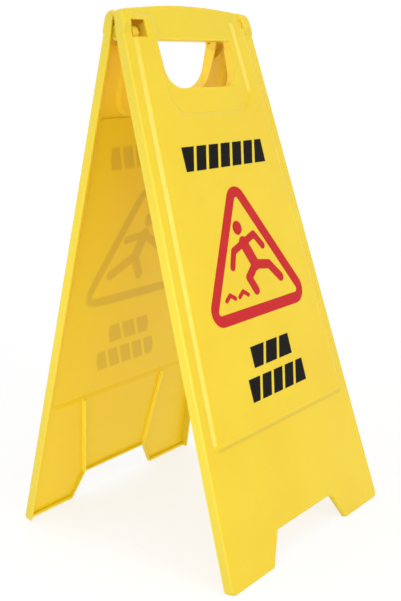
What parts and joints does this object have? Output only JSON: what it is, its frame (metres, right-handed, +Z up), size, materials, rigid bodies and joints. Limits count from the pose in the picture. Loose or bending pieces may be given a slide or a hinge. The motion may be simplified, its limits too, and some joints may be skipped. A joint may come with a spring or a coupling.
{
  "type": "wet floor sign",
  "caption": "Free-standing folding floor sign: tapered moulded panels with notched legs, hinged below an integral handle, printed with plain warning shapes.",
  "frame": {"origin": "on the floor, midway between the four feet, below the hinge axis; the bounding box's bottom centre", "axes": "+X across the sign, along the hinge axis; the front panel faces -Y; +Z up, from the floor to the handle"},
  "size_m": [0.3042, 0.3276, 0.6075],
  "materials": {
    "yellow_plastic": "satin moulded polypropylene",
    "pin_plastic": "smooth moulded nylon",
    "black_ink": "screen-printed ink film",
    "red_ink": "screen-printed ink film"
  },
  "bodies": {
    "front": {"front_panel": "yellow_plastic", "left_hinge_pin": "pin_plastic", "front_upper_bar_print": "black_ink", "front_lower_bar_print": "black_ink", "front_warning_triangle_print": "red_ink", "front_slip_figure_print": "red_ink", "front_ripple_print": "red_ink"},
    "back": {"back_panel": "yellow_plastic", "right_hinge_pin": "pin_plastic", "back_upper_bar_print": "black_ink", "back_lower_bar_print": "black_ink", "back_warning_triangle_print": "red_ink", "back_slip_figure_print": "red_ink", "back_ripple_print": "red_ink"}
  },
  "joints": [
    {"name": "fold", "type": "hinge", "parent": "front", "child": "back", "pos_m": [0, 0, 0.57726], "axis": [-1, 0, 0], "range_deg": [0, 29]}
  ]
}
